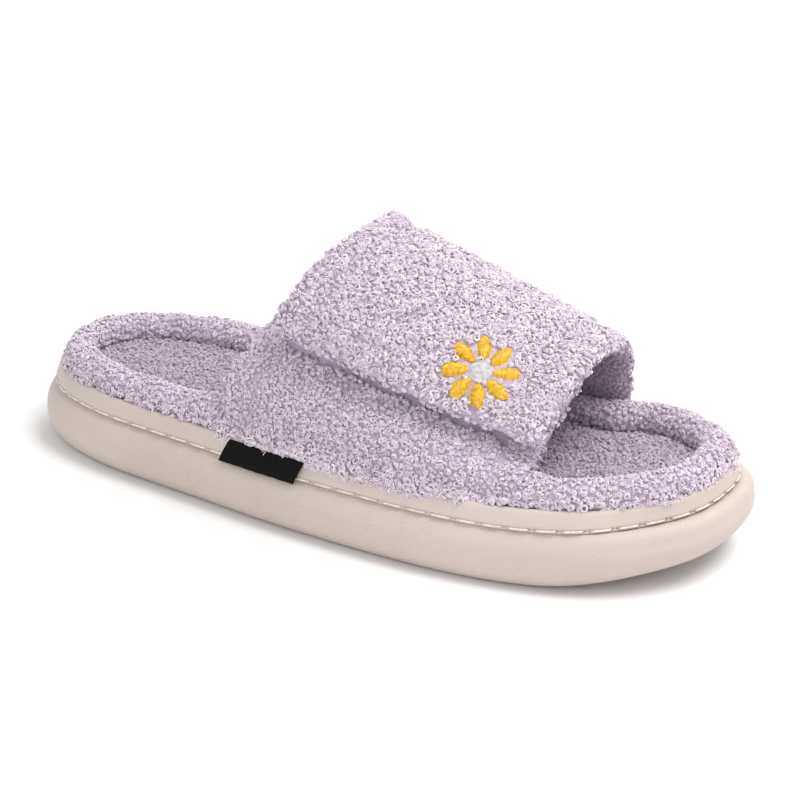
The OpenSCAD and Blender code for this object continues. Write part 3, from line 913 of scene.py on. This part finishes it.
def side_stitches(stitch_line, run, total):
    """Running stitches of twisted thread that dip into the band at both ends."""
    starts, ends = stitch_ends(total)
    steps, sides = 26, 8
    s = np.linspace(0, 1, steps)
    places = starts[:, None] + (ends - starts)[:, None] * s
    closed = np.vstack([stitch_line, stitch_line[:1]])
    runs = np.concatenate([run, [total]])
    paths = np.stack([np.interp(places % total, runs, closed[:, k]) for k in range(3)], -1)
    centre = np.array([0, -1.5, 0])
    inward = unit((centre - paths) * [1, 1, 0])
    ahead = unit(np.gradient(paths, axis=1))
    out = unit(np.cross(ahead, [0, 0, 1.0]))
    out *= np.sign((out * -inward).sum(-1, keepdims=True))
    dip = 1.5 * (1 - np.clip(np.minimum(s, 1 - s) / 0.09, 0, 1)) ** 1.5
    bow = 0.16 * np.sin(math.pi * s) - 0.62
    paths = paths + out * (bow - dip)[None, :, None]
    yarn = lobed(steps, sides, 22, 0.17)[None]
    tube = tubes(paths, 0.31, sides, np.array([0, 0, 1.0]), yarn)
    uv = np.stack([np.tile(np.linspace(0, 1, sides * steps), STITCH_COUNT),
                   np.repeat(np.linspace(0, 1, STITCH_COUNT), sides * steps)], -1)
    stand_in(plain_piece("seam_thread", SIDE_THREAD, *tube, uv), ["side_stitching"])


# -------- fleece pieces
OUTER_DENSITY = 1.2
LUMP = 0.35
FELTED = 0.4


def rim_roll():
    """Rolled fleece rim: a tube round the footbed whose pile covers all but its underside."""
    outline = sole_outline(12)
    line = outline[0]
    inset = roll_inset(line)
    around = np.linspace(0, 2 * math.pi, 16, endpoint=False)
    wobble = 0.25 * np.sin(np.arange(len(line)) * 2 * math.pi * 9 / len(line))
    base_r = ROLL_R - 1.95 + wobble
    stretch = ROLL_SHIFT * np.clip(beside_strap(line, 12) - beside_strap(line, 3, 4.5), 0, 1)
    rings = []
    for w in around:
        out, up = math.cos(w), math.sin(w)
        corner = 1 + 0.34 * 2 * max(out, 0) * max(-up, 0)
        rings.append(ring(outline, inset - (base_r * corner + stretch * (out > 0)) * out,
                          ROLL_Z + base_r * corner * up))
    rings = np.stack(rings)
    quads = grid_quads(numbered(rings), close_rows=True, close_columns=True)
    verts = rings.reshape(-1, 3)
    angle = np.repeat(around, len(line))
    shown = smooth((np.sin(angle) + 0.85 - 0.1 * (np.cos(angle) < -0.1)) / 0.3)
    run, total = along_ring(ring(outline, 0, 0))
    uv = np.stack([np.tile(run / total, 16), angle / (2 * math.pi)], -1)
    quads = facing_up(verts, quads, angle == around[4])
    over_band = smooth(np.cos(angle) / 0.5) * smooth(-np.sin(angle) / 0.4 + 0.4)
    pile = 2.15 + 0.9 * over_band
    obj = fleece_piece("rim_roll", verts, quads, uv, pile, OUTER_DENSITY * 1.05 * shown,
                       np.zeros(len(verts)), [FLEECE])
    stand_in(obj, ["rim_cover", "rim_core"])


FOOTBED_UV_SPAN = 290.0


def footbed_pad():
    """Padded footbed: dished a little, pressed down along the roll by its seam."""
    outline = sole_outline(8)
    line = outline[0]
    inset = roll_inset(line) + 2.6
    edge = ring(outline, inset, 0)[:, :2]
    spine = np.column_stack([np.clip(edge[:, 0], -92, 92), np.full(len(edge), 0.5)])
    shares = np.concatenate([[0, 0.04, 0.09, 0.15], np.linspace(0.24, 1, 9)])
    tops, bottoms = [], []
    for share in shares:
        xy = mix(edge, spine, share)
        lift = spring(xy[:, 0])
        puff = 1.5 * smooth(share / 0.2) - 0.4 - 0.5 * smooth((share - 0.3) / 0.6)
        tops.append(np.column_stack([xy, FOOTBED_Z - 1.7 + lift + puff]))
        bottoms.append(np.column_stack([xy, FOOTBED_Z - 4.5 + lift]))
    rings = np.stack(bottoms[::-1] + tops)
    quads = grid_quads(numbered(rings), close_columns=True)
    verts = rings.reshape(-1, 3)
    upper = np.repeat(np.arange(len(rings)) >= len(bottoms), len(line))
    quads = facing_up(verts, quads, upper)
    share_of = np.repeat(np.concatenate([shares[::-1], shares]), len(line))
    pinned = (~upper) | (share_of < 0.05) | (share_of > 0.97)
    verts = simulate(verts, quads, pinned, 3.0, np.where(upper, 0.9, 0.0))
    uv = verts[:, :2] / FOOTBED_UV_SPAN + [0.5, 0.25]
    uv[:, 1] += 0.5 * upper
    density = OUTER_DENSITY * upper * smooth(share_of / 0.03)
    pile = 1.8 + 0.3 * smooth(share_of / 0.12)
    obj = fleece_piece("footbed_pad", verts, quads, uv, pile, density,
                       np.zeros(len(verts)), [FOOTBED])
    stand_in(obj, ["footbed_cover", "foam_footbed"])


PILE, LINING_PILE = 2.6, 1.5
EDGE_RADIUS, FURROW_DEPTH = 2.2, 2.2
BASE_BULGE, BASE_DROP = 1.8, 1.6


def strap_piece(name, rows, columns, top, bottom, ends, pile, lining_pile, patch, lateral):
    """One padded half of the strap, from simulated ground fabric to its curls. The patch is bare of pile:
    it lies on the outer side of the lateral half, and on the inner side of the flap."""
    verts, quads, facts = strap_pad(rows, columns, top, bottom, *ends, EDGE_RADIUS, lateral)
    t, a, side = facts.T
    sewn = furrow(t) > 0.75
    border = np.abs(side) < 0.75
    at_end = (a <= rows[0] + 1e-6) | (a >= rows[-1] - 1e-6)
    cap = np.where(side > 0, 1.3, 0.4)
    verts = simulate(verts, quads, sewn | border | at_end, 4.0, cap)
    dent = FURROW_DEPTH * furrow(t) * (side > 0.5)
    verts = verts - strap_normal(t, a) * dent[:, None]
    verts, quads, facts = refine(verts, quads, facts)
    t, a, side = facts.T
    from_sole = np.minimum(a, 1 - a) * STRAP_ARC
    at_base = 1 - smooth(from_sole / 6)
    outward = strap_normal(t, a) * [1, 1, 0]
    overhang = 1 - 0.7 * smooth((t - 0.82) / 0.12)
    verts += outward * (BASE_BULGE * overhang * at_base * (side > 0))[:, None]
    verts[:, 2] -= overhang * (BASE_DROP * at_base + BASE_DROP * (1 - smooth(from_sole / 2.5)))
    length = np.where(side > 0.2, pile, mix(lining_pile, pile, smooth((side + 0.6) / 0.8)))
    length = length + 1.1 * (side > 0.2) * (1 - smooth((from_sole - 2) / 3))
    length = length * (1 - 0.35 * furrow(t) * (side > 0))
    density = np.where(side > -0.5, OUTER_DENSITY, OUTER_DENSITY * 0.8)
    patch_a, patch_t = patch
    on_patch = (a > patch_a[0]) & (a < patch_a[1]) & (t > patch_t[0]) & (t < patch_t[1])
    patch_side = side > 0.4 if lateral else side < -0.4
    density = np.where(on_patch & patch_side, 0, density)
    uv = np.stack([0.02 + 0.96 * t, 0.02 + 0.46 * a + 0.5 * (side < 0)], -1)
    slots = (side < -0.3).astype(float)
    return fleece_piece(name, verts, quads, uv, length, density, slots, [FLEECE, LINING],
                        None if lateral else under_daisy)


def lateral_pad():
    rows = np.concatenate([np.linspace(0, 0.2, 13), np.linspace(0.225, 0.44, 10)])
    obj = strap_piece("lateral_strap_pad", rows, edge_columns(1.0, 1.7, 24),
                      lambda t, a: sink(a) + 2.0, lambda t, a: sink(a) + 3.4, (False, True),
                      2.3, 1.1, ((0.148, 0.425), (0.1, 0.9)), True)
    stand_in(obj, ["lateral_strap_cover", "lateral_strap_foam", "lateral_strap_lining"])


def flap_total(a):
    return mix(FLAP_T, medial_thickness(a), smooth((a - 0.46) / 0.08))


def flap_pad():
    """Medial half and flap in one piece of fabric."""
    near = FLAP_END + FLAP_HEM / STRAP_ARC + EDGE_STEPS / STRAP_ARC
    rows = np.concatenate([near, np.linspace(near[-1], 1, 48)[1:]])
    obj = strap_piece("strap_and_flap_pad", rows, edge_columns(0.2, 1.9, 24),
                      lambda t, a: PILE - 0.5 * smooth((a - 0.85) / 0.1),
                      lambda t, a: flap_total(a) - LINING_PILE + 0.5 * smooth((a - 0.85) / 0.1),
                      (True, False), PILE, LINING_PILE, ((0.2, 0.37), (0.13, 0.87)), False)
    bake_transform(obj)
    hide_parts("medial_strap_cover", "medial_strap_foam", "medial_strap_lining",
                "flap_cover", "flap_foam", "flap_lining")


def tape_patch(name, rows, depth, material, body, node):
    """Strip of hook or loop tape, rounded at its edges, following the strap."""
    columns = np.linspace(0.14, 0.86, 40)
    verts, quads, facts = strap_pad(rows, columns, lambda t, a: depth + 0 * t,
                                    lambda t, a: depth + 0.8 + 0 * t, True, True, 0.8)
    surface = facts[:, :2] * [STRAP_WIDTH, STRAP_ARC]
    uv = np.stack([facts[:, 0], 0.05 + facts[:, 1] + 0.5 * (facts[:, 2] < 0)], -1)
    obj = plain_piece(name, material, verts, quads, (), uv, surface)
    stand_in(obj, [node], body)


def thread_layout(tube, sides):
    """Layout for baking: all threads end to end in one direction, round each of them in the other."""
    count = len(tube[0])
    return np.stack([np.linspace(0, 1, count), (np.arange(count) % sides) / sides], -1)


def topstitch(name, low, high, count, body, node, piece_depth):
    """Thread in the two furrows, sunk into the pile."""
    steps, sides = 12, 6
    s = np.linspace(0, 1, steps)
    step_a = (high - low) / (count - 1)
    paths = []
    for row in FURROWS:
        for middle in np.linspace(low, high, count):
            a = middle + (s - 0.5) * step_a * 0.62
            depth = piece_depth + 0.55 + 0.7 * (2 * s - 1) ** 4
            paths.append(below(np.full(steps, row), a, depth))
    yarn = lobed(steps, sides, 9, 0.15)[None]
    tube = tubes(np.array(paths), 0.32, sides, np.array([1.0, 0, 0]), yarn)
    stand_in(plain_piece(name, LILAC_THREAD, *tube, thread_layout(tube, sides)), [node], body)


CENTRE_R, CENTRE_THREADS, PETAL_THREADS = 3.7, 15, 22


def thread_places(count):
    """Evenly spaced places from -1 to 1, each in the middle of its share."""
    return [-1 + 2 * (j + 0.5) / count for j in range(count)]


def daisy():
    """Embroidered flower: satin-stitched threads across each petal, sunk into the pile."""
    p, along, over, n = daisy_frame()
    steps, sides = 9, 5
    s = np.linspace(-1, 1, steps)
    paths, centre_paths = [], []
    for w in PETAL_TURNS:
        out = math.cos(w) * along + math.sin(w) * over
        side = -math.sin(w) * along + math.cos(w) * over
        for u in thread_places(PETAL_THREADS):
            width = PETAL_W / 2 * math.sqrt(1 - u * u) * (1 + 0.25 * u) + 0.12
            slant = 0.55 * (1 + 0.15 * rng.normal())
            x = PETAL_R + PETAL_LEN / 2 * u + slant * s * width * 0.6
            y = width * s * (1 + 0.04 * rng.normal())
            dome = 1.25 * math.sqrt(max(1 - 0.75 * u * u, 0)) * (1 - np.abs(s) ** 2.6) - 1.15
            paths.append(p + x[:, None] * out + y[:, None] * side + (dome + 0.06 * rng.normal())[:, None] * n)
    for u in thread_places(CENTRE_THREADS):
        width = CENTRE_R * math.sqrt(1 - u * u) + 0.1
        dome = 1.1 * (1 - 0.6 * u * u) * (1 - np.abs(s) ** 3) - 1.1
        centre_paths.append(p + (CENTRE_R * u) * along + (width * s)[:, None] * over + dome[:, None] * n)
    for name, lines, material, node, slot_name in (
            ("daisy_petal_threads", paths, PETAL_THREAD, "daisy_petals", "petal_thread"),
            ("daisy_centre_threads", centre_paths, CENTRE_THREAD, "daisy_centre", "centre_thread")):
        tube = tubes(curve_with_strap(np.array(lines)), 0.27, sides, n)
        stand_in(plain_piece(name, material, *tube, thread_layout(tube, sides)), [node], "flap")


def cubic_terms(x, y):
    return np.stack([x ** i * y ** j for i in range(4) for j in range(4 - i)], -1)


def curve_with_strap(lines):
    """Bends points that were laid out on the flower's flat plane to follow the strap's curve."""
    p, along, over, n = daisy_frame()
    samples_t, samples_a = np.meshgrid(np.linspace(DAISY_T - 0.2, DAISY_T + 0.2, 41),
                                       np.linspace(DAISY_A - 0.1, DAISY_A + 0.1, 41))
    face = strap_point(samples_t, samples_a).reshape(-1, 3) - p
    x, y, z = face @ along, face @ over, face @ n
    near = np.hypot(x, y) < 18
    fit, *_ = np.linalg.lstsq(cubic_terms(x, y)[near], z[near], rcond=None)
    q = lines - p
    return lines + (cubic_terms(q @ along, q @ over) @ fit)[..., None] * n


LABEL_START, LABEL_LEN, LABEL_LEAN, LABEL_SHEAR = -35.5, 32, 1.8, 3.0
LABEL_INSET, LABEL_ROW, LABEL_UV_SPAN = 2.1, 0.6, 48
PLY_OUTER, PLY_INNER = 0.36, 0.08


def woven_label():
    """Folded satin tab over the band: two plies that meet in a soft fold at the lower edge."""
    low, high = BOARD_Z - 0.5, BAND_TOP - 0.2
    side = coarse_line[half_count:][::-1]
    columns = np.linspace(LABEL_START, LABEL_START + LABEL_LEN, 34)
    drop = np.linspace(0, 1, 16)
    fold = np.linspace(0, math.pi, 7)[1:-1]

    def folded(half):
        line = [(low + (high - low) * (1 - d), half) for d in drop]
        line += [(low - half * math.sin(w) * 0.8, half * math.cos(w)) for w in fold]
        return line + [(low + (high - low) * d, -half) for d in drop]

    profile = folded(PLY_OUTER) + folded(PLY_INNER)[::-1]
    y_side = np.interp(columns, side[:, 0], side[:, 1])
    ripple = 0.12 * np.sin(columns * 0.55) + 0.1 * np.sin(columns * 1.3 + 1)
    ends = np.minimum(columns - columns[0], columns[-1] - columns)
    curl = 0.35 * np.exp(-ends / 1.2)
    rows = []
    for z, out in profile:
        lean = LABEL_LEAN * max(0, (z - low) / BAND_HEIGHT) ** 2
        free = 1 - max(0, (z - low) / (high - low))
        tuck = 2.2 * max(0, (z - BAND_TOP + 0.6) / 1.5) ** 1.5
        y = y_side + LABEL_INSET + lean + tuck - out - (ripple + curl) * free
        x = columns + LABEL_SHEAR * (1 - free)
        rows.append(np.column_stack([x, y, np.full(len(columns), z) + 0.15 * ripple]))
    grid = np.stack(rows)
    index = numbered(grid)
    quads = [grid_quads(index, close_rows=True)]
    m, n = len(profile), len(profile) // 2
    for column in (0, -1):
        outer, inner = index[:n, column], index[::-1][:n, column]
        strip = np.stack([outer[:-1], outer[1:], inner[1:], inner[:-1]], -1)
        quads.append(strip[:, ::1 if column == 0 else -1])
    down = LABEL_ROW * np.arange(m)[:, None]
    surface = np.stack(np.broadcast_arrays(columns[None], down), -1).reshape(-1, 2)
    uv = (surface - [LABEL_START, 0]) / LABEL_UV_SPAN
    obj = plain_piece("side_label", LABEL, grid, np.vstack(quads), (), uv, surface)
    stand_in(obj, ["woven_label"])


# -------- camera and light


def aim(obj, target):
    obj.rotation_euler = (Vector(target) - obj.location).to_track_quat("-Z", "Y").to_euler()


def add_camera():
    data = bpy.data.cameras.new("Camera")
    data.lens, data.sensor_width = 130.9, 36
    camera = linked("Camera", data)
    camera.location = (0.4715, -0.788, 0.4257)
    aim(camera, (-0.0002, 0.0166, 0.0263))
    bpy.context.scene.camera = camera


def add_light(name, place, target, size, power, colour=(1, 1, 1)):
    data = bpy.data.lights.new(name, "AREA")
    data.shape = "DISK"
    data.size, data.energy, data.color = size, power, colour
    light = linked(name, data)
    light.location = place
    aim(light, target)


def studio():
    """Soft key from above and the toe side, a weak fill, and a bright even surround."""
    add_light("key", (0.5, 0.1, 0.95), (0.02, 0, 0.03), 0.7, 9.3, (1, 0.99, 0.975))
    add_light("fill", (0.1, -1.0, 0.5), (0, 0, 0.03), 0.9, 2.8, (0.98, 0.98, 1))
    add_light("back", (-0.2, 0.9, 0.7), (0, 0, 0.05), 0.8, 4)
    world = bpy.data.worlds.new("studio")
    bpy.context.scene.world = world
    world.use_nodes = True
    world.node_tree.nodes["Background"].inputs["Color"].default_value = (1, 1, 1, 1)
    world.node_tree.nodes["Background"].inputs["Strength"].default_value = 0.68
    reach = 4
    corners = [(-reach, -reach, 0), (reach, -reach, 0), (reach, reach, 0), (-reach, reach, 0)]
    floor = mesh_object("floor", corners, [(0, 1, 2, 3)])
    look = Look("studio_floor")
    tone = look.ramp(look.noise(3, 2), [(0, (0.86, 0.86, 0.86, 1)), (1, (0.9, 0.9, 0.9, 1))])
    look.shade({"Base Color": tone, "Roughness": 0.8})
    floor.data.materials.append(look.material)
    bpy.context.scene.view_settings.view_transform = "Standard"


def finish_cad_nodes():
    """Material for the one CAD node that stays as it is."""
    look = Look("pressed_board")
    fibres = look.noise(400, 5)
    look.shade({"Base Color": look.ramp(fibres, [(0.3, srgb(140, 116, 88)), (0.7, srgb(186, 162, 130))]),
                "Roughness": 0.85})
    look.bump(fibres, 0.4, 0.0003)
    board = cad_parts["insole_board"]
    board.data.materials.clear()
    board.data.materials.append(look.material)


add_camera()
studio()
finish_cad_nodes()
sole_wall()
side_stitches(*sole_band())
rim_roll()
footbed_pad()
lateral_pad()
flap_pad()
tape_patch("hook_tape", np.linspace(0.21, 0.36, 16), 7.1, HOOK_TAPE,
           "flap", "hook_patch")
tape_patch("loop_tape", np.linspace(0.21, 0.42, 22), 8.3, LOOP_TAPE,
           "root", "loop_patch")
topstitch("strap_topstitch", 0.53, 0.92, 26, "root", "medial_topstitching", PILE)
topstitch("flap_topstitch", 0.2, 0.47, 18, "flap", "flap_topstitching", PILE)
daisy()
woven_label()

bpy.context.view_layer.update()
